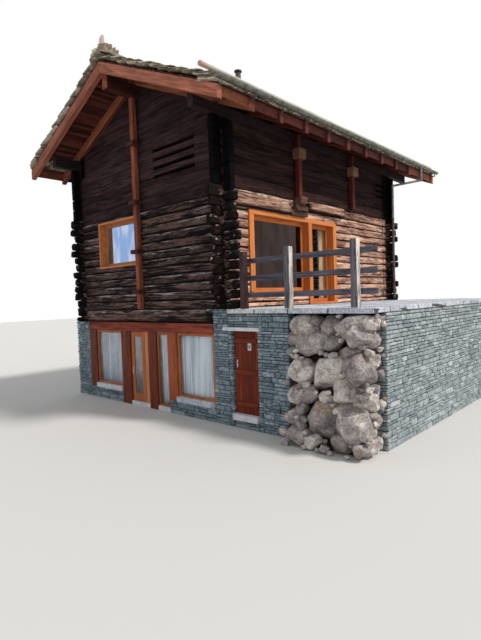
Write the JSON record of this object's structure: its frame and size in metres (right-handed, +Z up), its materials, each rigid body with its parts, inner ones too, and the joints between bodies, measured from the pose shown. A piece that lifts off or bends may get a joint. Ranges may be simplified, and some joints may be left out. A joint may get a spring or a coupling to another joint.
{
  "type": "alpine log chalet",
  "caption": "Alpine chalet with a glazed stone ground storey, a cross-lapped log storey, a stone slab roof on rafters, and a walled side terrace with a fence and cellar.",
  "frame": {"origin": "underside of the ground floor slab, under the middle of the log house", "axes": "+Z up, -Y out of the glazed gable front, +X towards the terrace"},
  "size_m": [11.41, 11.91, 10.064],
  "materials": {
    "stone": "thin-coursed dry stone masonry",
    "pale_stone": "sawn pale stone slab",
    "slate": "weathered split stone slabs",
    "boulder": "natural boulders",
    "old_log": "weathered hewn larch logs",
    "dark_plank": "sun-darkened hewn planks",
    "larch": "red-brown larch",
    "new_larch": "oiled light larch",
    "grey_wood": "silver-grey weathered wood",
    "floor_wood": "plain boards",
    "door_wood": "red-brown stained boards",
    "zinc": "dull weathered zinc",
    "steel": "satin",
    "glass": "clear",
    "cloth": "sheer white curtain"
  },
  "bodies": {
    "house": {"ground_floor": "pale_stone", "left_stone_wall": "stone", "back_stone_wall": "stone", "right_stone_wall": "stone", "front_piers": "stone", "plinths": "stone", "sills": "pale_stone", "lintel_beam": "larch", "front_posts": "larch", "front_window_frames": "new_larch", "window_glass": "glass", "curtains": "cloth", "curtain_rails": "new_larch", "door_hinges": "steel", "upper_floor": "floor_wood", "front_log_wall": "old_log", "back_log_wall": "old_log", "left_log_wall": "old_log", "right_log_wall": "old_log", "front_plank_wall": "dark_plank", "back_plank_wall": "dark_plank", "left_plank_wall": "dark_plank", "right_plank_wall": "dark_plank", "gable_window": "new_larch", "terrace_window": "new_larch", "cover_logs": "old_log", "binders": "larch", "clamps": "larch", "ridge_purlin": "larch", "wall_plates": "dark_plank", "rafters": "larch", "roof_boards": "larch", "stone_roof": "slate", "ridge_slabs": "slate", "gutter": "zinc", "downpipe": "zinc", "snow_pole": "grey_wood", "flue": "zinc", "cellar_front": "stone", "cellar_lintel": "pale_stone", "terrace_walls": "stone", "boulder_wall": "boulder", "terrace_slab": "pale_stone", "fence": "grey_wood"},
    "front_door": {"front_door": "new_larch", "front_door_glass": "glass", "front_door_handle": "steel"},
    "cellar_door": {"cellar_door": "door_wood"}
  },
  "joints": [
    {"name": "front_door_hinge", "type": "hinge", "parent": "house", "child": "front_door", "pos_m": [-0.075, -4.198, 0.12], "axis": [0, 0, -1], "range_deg": [0, 90]},
    {"name": "cellar_door_hinge", "type": "hinge", "parent": "house", "child": "cellar_door", "pos_m": [4.205, -4.158, 0.33], "axis": [0, 0, -1], "range_deg": [0, 90]}
  ]
}
